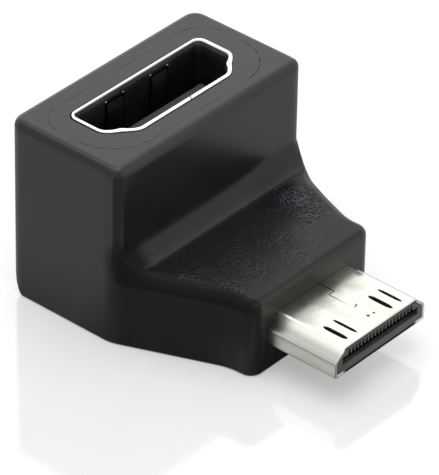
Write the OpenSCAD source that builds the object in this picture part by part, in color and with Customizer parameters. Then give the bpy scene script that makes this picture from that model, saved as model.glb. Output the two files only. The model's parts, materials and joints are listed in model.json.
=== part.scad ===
// Right angle audio and video adapter. A full size socket opens upwards in the top of an
// upright block, and a mini plug points forwards out of a low, narrower nose.
// X runs across the adapter, the plug points along -Y and the socket opens along +Z.
// The origin is at the middle of the whole length and width, on the underside.

/* [Moulded body] */
// Width of the upright block
body_w = 21.1; // [20:0.1:24]
// Depth of the upright block, from its back to its front face
block_d = 11.1; // [10.4:0.1:13]
// Height of the upright block
body_h = 15.8; // [15:0.1:19]
// How far the nose reaches out in front of the block
nose_reach = 10.2; // [9:0.1:13]
// Width of the nose at its tip
nose_w = 13.7; // [13.2:0.1:15]
// Height of the nose
nose_h = 6.9; // [6.4:0.1:8.5]
// Length of the straight sides at the tip of the nose
nose_straight = 2.2; // [1.6:0.1:3]
// How far behind the block's front face its sides start to narrow
taper_setback = 0.8; // [0.4:0.1:1.5]
// Radius of the bend where the sides start to narrow
shoulder_r = 3; // [1:0.1:5]
// Largest radius of the hollow bend where the narrowing sides run straight again
waist_r = 5.2; // [2:0.1:8]
// Radius of the hollow sweep from the nose up into the block's front face
sweep_r = 1.9; // [1:0.1:3.5]
// Radius of the block's upright corners at the back
rear_corner_r = 1.3; // [1:0.1:2.4]
// Radius of the block's upright corners at the front
front_corner_r = 0.9; // [0.8:0.1:1.5]
// Radius of the upright corners at the tip of the nose
nose_corner_r = 1.1; // [0.9:0.1:1.5]
// Radius of the edges round the top face
top_edge_r = 0.7; // [0.2:0.05:0.75]
// Radius of the edge along the top of the nose at its tip
nose_edge_r = 0.6; // [0.2:0.05:0.8]
// Radius of the edges along the top of the nose where its sides narrow
nose_side_edge_r = 1.1; // [0.2:0.05:1.4]
// Radius of the bottom edge along the back
heel_r = 1.8; // [0.6:0.1:2.2]
// Radius of the other bottom edges
sole_edge_r = 0.25; // [0.1:0.05:0.5]
// Thickness of the outer moulding round the inner one
wall = 1.25; // [0.9:0.05:1.35]
// Radius of the inner moulding's back corners, seen as part of a fine ring in the top
core_back_r = 2.2; // [1:0.1:3]
// Radius of the inner moulding's front corners, seen as part of a fine ring in the top
core_front_r = 3.8; // [2:0.1:4.2]

/* [Socket] */
// Distance of the socket's middle in front of the middle of the block
socket_shift = 0.25; // [0:0.05:0.5]
// Width of the socket's opening, inside its metal shell
socket_w = 14; // [13.8:0.05:14.2]
// Height of the socket's opening, inside its metal shell
socket_h = 4.55; // [4.4:0.05:4.7]
// Width of the opening's narrow edge, between the sloping shoulders
socket_narrow_w = 9.9; // [9:0.1:11]
// Height of the opening's upright ends, beside the sloping shoulders
socket_cheek_h = 2.9; // [2.4:0.1:3.2]
// Thickness of the socket shell's sheet metal
shell_t = 0.3; // [0.2:0.05:0.35]
// How far the rim of the shell's mouth is set out beyond its wall
lip_w = 0.15; // [0.05:0.05:0.3]
// How far the lip stands proud of the top face
lip_proud = 0.1; // [0.05:0.05:0.3]
// Width of the slanting seam in the shell
seam_w = 0.08; // [0.04:0.02:0.16]
// Width of a spring finger in the shell
finger_w = 1.7; // [1.4:0.1:2.4]
// Length of a spring finger in the shell
finger_l = 4.6; // [3:0.1:6]
// Distance of each spring finger from the middle of the socket
finger_x = 2.5; // [2.2:0.1:3]
// Width of the slits round a spring finger
slit_w = 0.25; // [0.15:0.05:0.35]
// Depth of the tongue's tip below the mouth of the shell
tongue_recess = 2.6; // [0.8:0.1:4]
// Thickness of the insulator's base, from its foot to the socket's floor
socket_base_h = 2.4; // [1.6:0.1:3]
// Width of the tongue
tongue_w = 11.2; // [10.8:0.1:11.6]
// Thickness of the tongue
tongue_t = 1.4; // [1.2:0.05:1.6]
// Distance between neighbouring contacts in one row of the socket
socket_pitch = 1; // [0.95:0.01:1.05]
// Width of a socket contact
socket_contact_w = 0.45; // [0.3:0.05:0.55]

/* [Plug] */
// How far the plug stands out of the nose
plug_reach = 6.6; // [6.4:0.1:8]
// Width of the plug, over its metal shell
plug_w = 10.42; // [10.2:0.01:10.5]
// Height of the plug, over its metal shell
plug_h = 2.42; // [2.3:0.01:2.6]
// Height of the plug's middle above the underside
plug_axis_h = 3.7; // [3.5:0.1:4.2]
// Width of the sloping corners along the top of the plug
bevel_w = 1.2; // [0.9:0.05:1.4]
// Height of the sloping corners along the top of the plug
bevel_h = 1; // [0.7:0.05:1.2]
// Thickness of the plug shell's sheet metal
plug_shell_t = 0.25; // [0.2:0.01:0.3]
// Thickness of shell and insulator together at either end of the slot in the plug
slot_end_t = 0.81; // [0.7:0.01:1]
// Depth of the slot in the end of the plug
slot_depth = 6; // [5:0.1:6.6]
// Thickness of the insulator below the slot
slot_floor_t = 0.6; // [0.5:0.02:0.7]
// Thickness of the insulator above the notches that hold the contacts
slot_roof_t = 0.14; // [0.1:0.01:0.2]
// Height of the notches along the top of the slot, one for each contact
notch_h = 0.46; // [0.3:0.02:0.6]
// Distance from either end of the slot to the middle of the nearest contact
slot_margin = 0.8; // [0.6:0.05:1]
// Width of a plug contact
plug_contact_w = 0.22; // [0.16:0.01:0.26]
// Length of the spring slits in the top of the plug
spring_slit_l = 2.2; // [1.5:0.1:3]
// Distance from the mouth of the plug to its spring slits
spring_slit_inset = 0.6; // [0.4:0.1:1.2]

/* [Circuit board] */
// Thickness of the circuit board
board_t = 0.8; // [0.6:0.1:1]
// Distance of the board's edge from the sides and the back of the inner moulding
board_inset = 0.6; // [0.3:0.05:0.9]
// Distance of the board's narrow end from the sides of the space that holds it
board_neck_inset = 0.36; // [0.3:0.02:0.6]
// Height of the board's top face above the plug's middle
board_rise = 0.4; // [0.3:0.02:0.46]
// Thickness of the contacts' metal strip
strip_t = 0.13; // [0.1:0.01:0.16]

/* [Clearances] */
// Hairline gap between the inner and the outer moulding
mould_gap = 0.03; // [0.02:0.01:0.06]
// Gap round pieces that are pushed or moulded into place
fit_gap = 0.02; // [0.01:0.01:0.05]

/* [Hidden] */
SOCKET_CONTACTS = 19;
PLUG_CONTACTS = 19;
function numbered(stem, count) = [for (i = [1 : count]) str(stem, i < 10 ? "_0" : "_", i)];
SOCKET_CONTACT_NAMES = numbered("socket_contact", SOCKET_CONTACTS);
PLUG_CONTACT_NAMES = numbered("plug_contact", PLUG_CONTACTS);

// Fineness of the curves
ARC_STEPS = 5;
SWEEP_STEPS = 7;
EDGE_STEPS = 3;
LINE_STEP = 1.4;
// Where the nose reaches out less than this, the wall goes straight up to the top face
SHORTEST_RUN = 0.04;
// Largest share of the nose's reach that its rounded edge may take up
EDGE_LIMIT = 0.45;
// The ribs draw together by this share on their way back from the tip of the nose
RIB_NARROWING = 0.25;
// How far a cut runs on past the face that it opens
OVER = 0.5;

// Bends of the socket's opening
SOCKET_SHOULDER_R = 0.8;
SOCKET_CORNER_R = 0.4;
// Width of a leg of the socket's shell, and how far it stands out below the board
LEG_W = 1.5;
LEG_CLEAR = 0.5;
// Depth of a spring finger's free end below the mouth
FINGER_DEPTH = 0.65;
// The seam slants across the narrow wall of the shell, a little to the right of its middle
SEAM_X = 0.85;
SEAM_LEAN = 35;
// How far a contact stands proud of the tongue, and ends short of its tip
CONTACT_PROUD = 0.05;
CONTACT_SHORT = 0.6;
// Distance from a socket contact's foot on the board to the wall of the shell
FOOT_CLEAR = 0.3;

// Bends of the plug's outline
PLUG_FOOT_R = 0.2;
PLUG_BEVEL_R = 0.45;
// Length of the plug's shell that is held inside the nose
PLUG_HOLD = 2.6;
// How far the shell reaches back beyond the plug's insulator
SHELL_BEHIND = 1;
// Length of a plug contact's end on the board, behind the plug's shell
TAIL_L = 0.9;
// Spring slits in the top of the plug as [x, width], in two pairs beside a spring strip
SPRING_SLITS = [[3.1, 0.2], [1.98, 0.36], [-2.12, 0.2], [-3.24, 0.36]];
// Butt seam along the top of the plug's shell, and its locking tab's width and length
PLUG_SEAM_W = 0.05;
PLUG_SEAM_X = 0.1;
LOCK_TAB = [0.7, 1.4];

// Spring arm of a plug contact: where it starts and where it touches, as distances from the
// mouth of the plug, how far it hangs out of its notch there, and where it ends in the slot
ARM_START = 0.12;
ARM_TOUCH = [0.9, 1.5];
ARM_CLEAR = 0.06;
ARM_ROOT = 1;

// Gap between the plug's insulator and the edge of the board
BOARD_GAP = 0.15;

// Places along the length
back_y = (block_d + nose_reach + plug_reach) / 2;
front_y = back_y - block_d;
tip_y = front_y - nose_reach;
plug_end_y = tip_y - plug_reach;
socket_y = back_y - block_d / 2 - socket_shift;
plug_shell_end_y = tip_y + PLUG_HOLD;
plug_insulator_end_y = plug_shell_end_y - SHELL_BEHIND;
plug_tail_end_y = plug_shell_end_y + TAIL_L;
slot_end_y = plug_end_y + slot_depth;
board_front_y = plug_insulator_end_y + BOARD_GAP;
core_front_y = front_y + wall;
core_back_y = 2 * socket_y - core_front_y;
core_half_w = body_w / 2 - wall;
neck_half_w = nose_w / 2 - wall;
root_half_w = core_half_w - core_front_r / 2;
board_corner_r = core_back_r - board_inset;
board_bevel_w = max(0, board_rise + bevel_h - plug_h / 2) * bevel_w / bevel_h;
plug_room_half_w = plug_w / 2 - plug_shell_t - board_bevel_w;
board_neck_half_w = min(plug_room_half_w, neck_half_w) - board_neck_inset;
root_y = front_y + taper_setback + core_front_r;
taper_d = nose_reach + taper_setback - nose_straight;
taper_lean = atan2(body_w / 2 - nose_w / 2, taper_d);
waist_bend = min(waist_r, (nose_straight - nose_corner_r) / tan(taper_lean / 2));

// Heights, where the socket's lip is as thick as the wall of its shell
board_top = plug_axis_h + board_rise;
mouth_z = body_h + lip_proud;
lip_t = shell_t;
insulator_foot_z = board_top + 2 * strip_t;
socket_floor_z = insulator_foot_z + socket_base_h;
tongue_tip_z = mouth_z - tongue_recess;
plug_bottom = plug_axis_h - plug_h / 2;
slot_bottom = plug_bottom + plug_shell_t + fit_gap + slot_floor_t;
notch_top = plug_bottom + plug_h - plug_shell_t - fit_gap - slot_roof_t;
slot_top = notch_top - notch_h;

// Rows of contacts
blade_out = tongue_t / 2 + CONTACT_PROUD;
foot_out = socket_h / 2 - FOOT_CLEAR;
slot_w = plug_w - 2 * slot_end_t;
plug_row_w = slot_w - 2 * slot_margin;
plug_pitch = plug_row_w / (PLUG_CONTACTS - 1);

// Legs of the socket's shell as [x, y, size along x, size along y], about the socket's middle
LEGS = [
    [socket_w / 2 + shell_t / 2, socket_h / 2 - socket_cheek_h / 2, shell_t, LEG_W],
    [-socket_w / 2 - shell_t / 2, socket_h / 2 - socket_cheek_h / 2, shell_t, LEG_W],
    [socket_w / 3, socket_h / 2 + shell_t / 2, LEG_W, shell_t],
    [-socket_w / 3, socket_h / 2 + shell_t / 2, LEG_W, shell_t]
];

// Outlines

function unit(v) = v / norm(v);

// Arc that rounds corner p, between neighbours a and b, by radius r
function corner_arc(a, p, b, r) =
    let (
        u = unit(a - p),
        v = unit(b - p),
        half = acos(max(-1, min(1, u * v))) / 2,
        from = p + u * r / tan(half),
        centre = p + unit(u + v) * r / sin(half),
        start = atan2(from[1] - centre[1], from[0] - centre[0]),
        turn = (180 - 2 * half) * sign(cross(p - a, b - p))
    )
    [for (k = [0 : ARC_STEPS]) centre + r * [
        cos(start + turn * k / ARC_STEPS),
        sin(start + turn * k / ARC_STEPS)
    ]];

// Closed outline through corners given as [x, y, radius], a radius of 0 keeps a corner sharp
function rounded(corners) =
    let (n = len(corners))
    [for (i = [0 : n - 1])
        let (
            before = corners[(i + n - 1) % n],
            c = corners[i],
            after = corners[(i + 1) % n],
            p = [c[0], c[1]]
        )
        each c[2] > 0
            ? corner_arc([before[0], before[1]], p, [after[0], after[1]], c[2])
            : [p]
    ];

// Closed outline whose long straight sides are cut into steps
function stepped(points) =
    let (n = len(points))
    [for (i = [0 : n - 1])
        let (
            a = points[i],
            b = points[(i + 1) % n],
            parts = max(1, ceil(norm(b - a) / LINE_STEP))
        )
        for (k = [0 : parts - 1]) a + (b - a) * k / parts
    ];

// Outward unit normal at point i of a closed outline that runs anticlockwise
function outward(points, i) =
    let (
        n = len(points),
        along = unit(points[(i + 1) % n] - points[(i + n - 1) % n])
    )
    [along[1], -along[0]];

// Corners on the right, then the same ones mirrored on the left, running anticlockwise
function mirrored(right) = concat(
    right,
    [for (i = [len(right) - 1 : -1 : 0]) [-right[i][0], right[i][1], right[i][2]]]
);

// Outer moulding

// Outline of the whole body seen from above, from the tip of the nose round the back
function body_outline() = stepped(rounded(mirrored([
    [nose_w / 2, tip_y, nose_corner_r],
    [nose_w / 2, tip_y + nose_straight, waist_bend],
    [body_w / 2, front_y + taper_setback, shoulder_r],
    [body_w / 2, back_y, rear_corner_r]
])));

// Where the block's front face lies at a distance x from the middle, corners included
function block_front(x) =
    let (into_corner = abs(x) - (body_w / 2 - front_corner_r))
    into_corner <= 0
        ? front_y
        : front_y + front_corner_r - sqrt(max(0, front_corner_r ^ 2 - into_corner ^ 2));

// A rib that starts at point p of the outline ends this far from the middle, at the top
function crown_x(p) = p[0] * (1 - RIB_NARROWING * max(0, front_y - p[1]) / nose_reach);

// How far the nose reaches forward of the block at a point of the outline
function nose_run(p) =
    p[1] > front_y + front_corner_r ? 0 : block_front(crown_x(p)) - p[1];

// Outward normal of the block at a point of its top outline, given the body's own there
function crown_normal(p, normal) =
    let (
        side = sign(p[0]),
        centre = [side * (body_w / 2 - front_corner_r), front_y + front_corner_r]
    )
    p[1] >= centre[1] ? normal
        : side * (p[0] - centre[0]) <= 0 ? [0, -1]
        : unit(p - centre);

// Radius of the bottom edge at a point of the outline
function bottom_r(p) =
    let (share = max(0, min(1, (p[1] - back_y + rear_corner_r) / rear_corner_r)))
    sole_edge_r + (heel_r - sole_edge_r) * share;

// Radius of the nose's top edge at a point of the outline, before the reach limits it
function nose_edge(p) =
    let (share = max(0, min(1, (p[1] - tip_y - nose_corner_r) / (2 * nose_straight))))
    nose_edge_r + (nose_side_edge_r - nose_edge_r) * share;

// Quarter round in steps, as [inset, rise] shares of its radius
function edge_share(k) = [1 - cos(90 * k / EDGE_STEPS), sin(90 * k / EDGE_STEPS)];

// Height of the nose's top at a place along the length, where the sweep starts at sweep_y
function nose_top(y, sweep_y) =
    let (into_sweep = max(0, y - sweep_y))
    nose_h + sweep_r - sqrt(max(0, sweep_r ^ 2 - into_sweep ^ 2));

// One rib of the skin, over the nose's edge, back along its top and up the sweep
function rib(p, normal) =
    let (
        run = nose_run(p),
        edge_r = min(nose_edge(p), EDGE_LIMIT * run),
        inner = p - edge_r * normal,
        outer = [crown_x(p), p[1] + run],
        sweep_y = outer[1] - sweep_r,
        ledge_z = nose_top(inner[1], sweep_y),
        start_y = max(sweep_y, inner[1] + (outer[1] - inner[1]) / SWEEP_STEPS),
        start_a = asin((start_y - sweep_y) / sweep_r)
    )
    run < SHORTEST_RUN
        ? straight_rib(p, run)
        : concat(
            [for (k = [0 : EDGE_STEPS])
                let (at = p - edge_r * edge_share(k)[0] * normal)
                [at[0], at[1], ledge_z - edge_r * (1 - edge_share(k)[1])]],
            [for (k = [0 : SWEEP_STEPS])
                let (
                    a = start_a + (90 - start_a) * k / SWEEP_STEPS,
                    y = sweep_y + sweep_r * sin(a),
                    share = (y - inner[1]) / (outer[1] - inner[1])
                )
                [inner[0] + (outer[0] - inner[0]) * share, y, nose_top(y, sweep_y)]]
        );

// A rib with as many points, straight up the block's side or back
function straight_rib(p, run) =
    let (steps = EDGE_STEPS + SWEEP_STEPS + 1)
    [for (k = [0 : steps])
        [p[0], p[1] + run * k / steps,
            nose_h - nose_edge_r + k * (sweep_r + nose_edge_r) / steps]];

// Skin of the outer moulding as rings of points, each ring one step up every rib
module body_skin() {
    outline = body_outline();
    n = len(outline);
    normals = [for (i = [0 : n - 1]) outward(outline, i)];
    ribs = [for (i = [0 : n - 1]) rib(outline[i], normals[i])];
    steps = len(ribs[0]);
    crown = [for (r = ribs) [r[steps - 1][0], r[steps - 1][1]]];
    crown_normals = [for (i = [0 : n - 1]) crown_normal(crown[i], normals[i])];
    bottom_rings = [for (k = [EDGE_STEPS : -1 : 0]) [for (i = [0 : n - 1])
        let (
            r = bottom_r(outline[i]),
            inset = [sole_edge_r * normals[i][0], r * normals[i][1]],
            at = outline[i] - edge_share(k)[0] * inset
        )
        [at[0], at[1], r * (1 - edge_share(k)[1])]]];
    rib_rings = [for (k = [0 : steps - 1]) [for (r = ribs) r[k]]];
    top_rings = [for (k = [0 : EDGE_STEPS]) [for (i = [0 : n - 1])
        let (at = crown[i] - top_edge_r * edge_share(k)[0] * crown_normals[i])
        [at[0], at[1], body_h - top_edge_r * (1 - edge_share(k)[1])]]];
    rings = concat(bottom_rings, rib_rings, top_rings);
    last = len(rings) - 1;
    sides = [for (k = [0 : last - 1]) for (i = [0 : n - 1])
        let (
            j = (i + 1) % n,
            a = k * n + i,
            b = k * n + j,
            c = (k + 1) * n + j,
            d = (k + 1) * n + i
        )
        each [[a, c, b], [a, d, c]]];
    hub = (last + 1) * n;
    underside = [for (i = [0 : n - 1]) [hub, i, (i + 1) % n]];
    top = [for (i = [0 : n - 1]) [hub + 1, last * n + (i + 1) % n, last * n + i]];
    polyhedron(
        points = concat([for (r = rings) each r], [[0, front_y, 0], [0, socket_y, body_h]]),
        faces = concat(underside, top, sides)
    );
}

// Space that the inner moulding fills, grown by gap, in the block and on into the nose
module core_space(gap) {
    half_w = core_half_w + gap;
    tower_back = core_back_y + gap;
    tower_front = core_front_y - gap;
    translate([0, 0, wall - gap])
        linear_extrude(body_h - wall + gap + (gap > 0 ? OVER : 0))
            polygon(rounded(mirrored([
                [half_w, tower_front, core_front_r + gap],
                [half_w, tower_back, core_back_r + gap]
            ])));
    translate([0, 0, wall - gap])
        linear_extrude(nose_h - 2 * wall + 2 * gap)
            polygon(rounded(mirrored([
                [neck_half_w + gap, tip_y + wall - gap, 0],
                [neck_half_w + gap, tip_y + nose_straight, 0],
                [root_half_w + gap, root_y, 0],
                [root_half_w + gap, core_front_y + core_front_r, 0]
            ])));
}

module housing() {
    color("#2b2b2b")
        difference() {
            body_skin();
            core_space(mould_gap);
            socket_pocket();
            plug_tunnel(fit_gap);
        }
}

// Inner moulding

module inner_mould() {
    color("#333335")
        difference() {
            core_space(0);
            socket_pocket();
            board_pocket();
            plug_tunnel(fit_gap);
        }
}

// Room for the socket, its lip, its spring fingers and its contacts
module socket_pocket() {
    socket_solid(board_top - fit_gap, mouth_z + OVER, shell_t + fit_gap);
    socket_solid(mouth_z - lip_t - fit_gap, mouth_z + OVER, shell_t + lip_w + 2 * mould_gap);
    for (side = [-1, 1])
        for (x = [-finger_x, finger_x])
            finger_window(x, side, finger_w + 2 * slit_w, shell_t + 2 * slit_w);
}

// Room for the circuit board, the shell's legs and the ends of the contacts
module board_pocket() {
    translate([0, 0, board_top - board_t - fit_gap])
        linear_extrude(board_t + 2 * fit_gap)
            board_outline(fit_gap);
    for (leg = LEGS)
        shell_leg(leg, fit_gap);
    translate([0, plug_tail_end_y / 2 + plug_shell_end_y / 2, board_top + strip_t / 2])
        cube([
            plug_row_w + 2 * plug_pitch,
            plug_tail_end_y - plug_shell_end_y + 2 * plug_pitch,
            strip_t + 2 * mould_gap
        ], center = true);
}

// Socket

// Outline of the socket's opening, grown by grow on every side
module socket_outline(grow) {
    slope = atan2(socket_h - socket_cheek_h, (socket_w - socket_narrow_w) / 2);
    half_w = socket_w / 2 + grow;
    half_h = socket_h / 2 + grow;
    half_narrow = socket_narrow_w / 2 + grow * tan(slope / 2);
    cheek_y = socket_h / 2 - socket_cheek_h - grow * tan(45 - slope / 2);
    polygon(rounded(mirrored([
        [half_narrow, -half_h, SOCKET_SHOULDER_R + grow],
        [half_w, cheek_y, SOCKET_SHOULDER_R + grow],
        [half_w, half_h, SOCKET_CORNER_R + grow]
    ])));
}

module socket_solid(bottom, top, grow) {
    translate([0, socket_y, bottom])
        linear_extrude(top - bottom)
            socket_outline(grow);
}

module shell_leg(leg, grow) {
    bottom = board_top - board_t - LEG_CLEAR - grow;
    translate([
        leg[0] - leg[2] / 2 - grow,
        socket_y + leg[1] - leg[3] / 2 - grow,
        bottom
    ])
        cube([leg[2] + 2 * grow, leg[3] + 2 * grow, board_top - bottom + grow]);
}

// Opening cut through the shell's wide wall (side 1) or narrow wall (side -1)
module finger_window(x, side, w, reach) {
    top = mouth_z - FINGER_DEPTH;
    near = socket_h / 2;
    translate([x - w / 2, socket_y + (side > 0 ? near : -near - reach), top - finger_l])
        cube([w, reach, finger_l]);
}

// Slits that free a spring finger on three sides
module finger_slits(x, side) {
    top = mouth_z - FINGER_DEPTH;
    near = socket_h / 2 - OVER / 2;
    reach = shell_t + OVER;
    y = socket_y + (side > 0 ? near : -near - reach);
    for (edge = [-1, 1])
        translate([x + edge * (finger_w + slit_w) / 2 - slit_w / 2, y, top - finger_l])
            cube([slit_w, reach, finger_l]);
    translate([x - finger_w / 2 - slit_w, y, top - slit_w])
        cube([finger_w + 2 * slit_w, reach, slit_w]);
}

module shell_seam() {
    translate([SEAM_X, socket_y - socket_h / 2, 0])
        rotate([0, 0, -SEAM_LEAN])
            translate([-seam_w / 2, -shell_t - lip_w - OVER, 0])
                cube([seam_w, shell_t + lip_w + 2 * OVER, mouth_z + OVER]);
}

module socket_shell() {
    color("#e6e6e3")
        difference() {
            union() {
                socket_solid(board_top, mouth_z, shell_t);
                socket_solid(mouth_z - lip_t, mouth_z, shell_t + lip_w);
                for (leg = LEGS)
                    shell_leg(leg, 0);
            }
            socket_solid(board_top - OVER, mouth_z + OVER, 0);
            socket_solid(mouth_z - lip_t / 2, mouth_z + OVER, lip_w);
            for (side = [-1, 1])
                for (x = [-finger_x, finger_x])
                    finger_slits(x, side);
            shell_seam();
        }
}

// The odd contacts lie on the tongue's wide side, and the even ones between them on the other
function socket_contact_side(number) = number % 2 == 1 ? 1 : -1;
function socket_contact_x(number) = (number - (SOCKET_CONTACTS + 1) / 2) * socket_pitch / 2;

// Side view of one socket contact, a blade up the tongue and a foot on the board
function socket_contact_side_view() = [
    [blade_out - strip_t, board_top],
    [foot_out, board_top],
    [foot_out, board_top + strip_t],
    [blade_out, board_top + strip_t],
    [blade_out, tongue_tip_z - CONTACT_SHORT],
    [blade_out - strip_t, tongue_tip_z - CONTACT_SHORT]
];

module socket_contact(number) {
    side = socket_contact_side(number);
    color("#d9b65a")
        translate([socket_contact_x(number), socket_y, 0])
            mirror([0, side > 0 ? 0 : 1, 0])
                translate([-socket_contact_w / 2, 0, 0])
                    rotate([90, 0, 90])
                        linear_extrude(socket_contact_w)
                            polygon(socket_contact_side_view());
}

// Groove and passage for one contact in the socket's insulator
module contact_groove(number) {
    side = socket_contact_side(number);
    w = socket_contact_w + 2 * fit_gap;
    inner = blade_out - strip_t - fit_gap;
    depth = strip_t + 2 * fit_gap;
    translate([
        socket_contact_x(number) - w / 2,
        socket_y + (side > 0 ? inner : -inner - depth),
        insulator_foot_z - OVER
    ])
        cube([w, depth, tongue_tip_z - CONTACT_SHORT + fit_gap - insulator_foot_z + OVER]);
}

module socket_insulator() {
    color("#1b1b1d")
        difference() {
            union() {
                socket_solid(insulator_foot_z, socket_floor_z, -fit_gap);
                translate([-tongue_w / 2, socket_y - tongue_t / 2, socket_floor_z - OVER])
                    cube([tongue_w, tongue_t, tongue_tip_z - socket_floor_z + OVER]);
            }
            for (number = [1 : SOCKET_CONTACTS])
                contact_groove(number);
        }
}

// Circuit board

module board_outline(grow) {
    polygon(rounded(mirrored([
        [board_neck_half_w + grow, board_front_y - grow, 0],
        [board_neck_half_w + grow, tip_y + nose_straight, 0],
        [root_half_w - board_inset + grow, root_y, 0],
        [core_half_w - board_inset + grow, core_front_y + core_front_r, 0],
        [core_half_w - board_inset + grow, core_back_y - board_inset + grow, board_corner_r + grow]
    ])));
}

module circuit_board() {
    color("#1f5a37")
        difference() {
            translate([0, 0, board_top - board_t])
                linear_extrude(board_t)
                    board_outline(0);
            for (leg = LEGS)
                shell_leg(leg, fit_gap);
        }
}

// Plug

// Outline of the plug seen from its end, shrunk by inset on every side
module plug_outline(inset) {
    lean = atan2(bevel_w, bevel_h);
    half_w = plug_w / 2 - inset;
    half_top = plug_w / 2 - bevel_w - inset * tan(45 - lean / 2);
    polygon(rounded(mirrored([
        [half_w, inset, max(0, PLUG_FOOT_R - inset)],
        [half_w, plug_h - bevel_h - inset * tan(lean / 2), max(0, PLUG_BEVEL_R - inset)],
        [half_top, plug_h - inset, max(0, PLUG_BEVEL_R - inset)]
    ])));
}

// Solid with the plug's outline between two places along the length
module plug_solid(from_y, to_y, inset) {
    translate([0, to_y, plug_bottom])
        rotate([90, 0, 0])
            linear_extrude(to_y - from_y)
                plug_outline(inset);
}

module plug_tunnel(gap) {
    plug_solid(plug_end_y - OVER, plug_shell_end_y + gap, -gap);
}

module spring_slit(slit) {
    translate([
        slit[0] - slit[1] / 2,
        plug_end_y + spring_slit_inset,
        plug_bottom + plug_h - plug_shell_t - OVER / 2
    ])
        cube([slit[1], spring_slit_l, plug_shell_t + OVER]);
}

// Butt seam along the top of the plug's shell, with a locking tab where it leaves the nose
module plug_seam() {
    z = plug_bottom + plug_h - plug_shell_t - OVER / 2;
    h = plug_shell_t + OVER;
    lock_y = tip_y - LOCK_TAB[1];
    left = PLUG_SEAM_X - PLUG_SEAM_W / 2;
    translate([left, plug_end_y - OVER, z])
        cube([PLUG_SEAM_W, lock_y - plug_end_y + OVER, h]);
    translate([left, lock_y - PLUG_SEAM_W, z])
        cube([LOCK_TAB[0], PLUG_SEAM_W, h]);
    translate([left + LOCK_TAB[0] - PLUG_SEAM_W, lock_y - PLUG_SEAM_W, z])
        cube([PLUG_SEAM_W, plug_shell_end_y - lock_y + OVER, h]);
}

module plug_shell() {
    color("#e6e6e3")
        difference() {
            plug_solid(plug_end_y, plug_shell_end_y, 0);
            plug_solid(plug_end_y - OVER, plug_shell_end_y + OVER, plug_shell_t);
            for (slit = SPRING_SLITS)
                spring_slit(slit);
            plug_seam();
        }
}

function plug_contact_x(number) = (number - (PLUG_CONTACTS + 1) / 2) * plug_pitch;

module plug_insulator() {
    color("#1b1b1d")
        difference() {
            plug_solid(plug_end_y + fit_gap, plug_insulator_end_y, plug_shell_t + fit_gap);
            translate([-slot_w / 2, plug_end_y - OVER, slot_bottom])
                cube([slot_w, slot_depth + OVER, slot_top - slot_bottom]);
            for (number = [1 : PLUG_CONTACTS])
                plug_contact_notch(number);
        }
}

// Notch in the top of the slot for one contact, and its narrow passage to the board
module plug_contact_notch(number) {
    w = plug_contact_w + 2 * fit_gap;
    left = plug_contact_x(number) - w / 2;
    translate([left, plug_end_y - OVER, slot_top - fit_gap])
        cube([w, slot_depth + OVER, notch_h + fit_gap]);
    translate([left, slot_end_y - OVER, board_top - fit_gap])
        cube([w, plug_insulator_end_y - slot_end_y + 2 * OVER, strip_t + 2 * fit_gap]);
}

// Side view of one plug contact, a spring arm in the slot that ends in a tail on the board
function plug_contact_path() = [
    [plug_end_y + ARM_START, notch_top - strip_t - fit_gap],
    [plug_end_y + ARM_TOUCH[0], slot_top - ARM_CLEAR],
    [plug_end_y + ARM_TOUCH[1], slot_top - ARM_CLEAR],
    [slot_end_y - ARM_ROOT, board_top],
    [plug_tail_end_y, board_top]
];

module plug_contact(number) {
    path = plug_contact_path();
    n = len(path);
    color("#c9c9c4")
        translate([plug_contact_x(number) - plug_contact_w / 2, 0, 0])
            rotate([90, 0, 90])
                linear_extrude(plug_contact_w)
                    polygon(concat(
                        path,
                        [for (i = [n - 1 : -1 : 0]) path[i] + [0, strip_t]]
                    ));
}

housing();
inner_mould();
socket_shell();
socket_insulator();
circuit_board();
plug_shell();
plug_insulator();
for (i = [1 : SOCKET_CONTACTS])
    socket_contact(i);
for (i = [1 : PLUG_CONTACTS])
    plug_contact(i);
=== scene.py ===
import json
import math
import bpy
import numpy as np
from mathutils import Matrix, Vector

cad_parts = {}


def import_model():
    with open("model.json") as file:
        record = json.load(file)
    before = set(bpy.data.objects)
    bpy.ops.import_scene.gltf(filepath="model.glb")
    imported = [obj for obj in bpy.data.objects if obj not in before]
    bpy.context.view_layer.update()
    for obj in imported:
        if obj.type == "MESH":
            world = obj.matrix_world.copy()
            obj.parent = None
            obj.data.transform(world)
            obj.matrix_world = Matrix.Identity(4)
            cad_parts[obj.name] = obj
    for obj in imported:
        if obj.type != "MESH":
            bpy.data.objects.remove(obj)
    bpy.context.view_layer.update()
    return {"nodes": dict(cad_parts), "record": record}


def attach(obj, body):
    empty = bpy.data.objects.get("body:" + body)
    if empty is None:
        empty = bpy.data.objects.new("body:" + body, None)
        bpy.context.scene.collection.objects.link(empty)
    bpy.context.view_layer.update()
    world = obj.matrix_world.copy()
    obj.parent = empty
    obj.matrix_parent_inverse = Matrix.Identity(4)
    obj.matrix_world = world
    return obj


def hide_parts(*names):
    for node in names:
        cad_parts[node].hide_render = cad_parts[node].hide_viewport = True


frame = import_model()

# Right angle audio and video adapter. Sizes are in millimetres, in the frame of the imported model:
# X across, the plug along -Y, the socket opening along +Z, and the floor at height 0.
MM = 0.001

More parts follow.
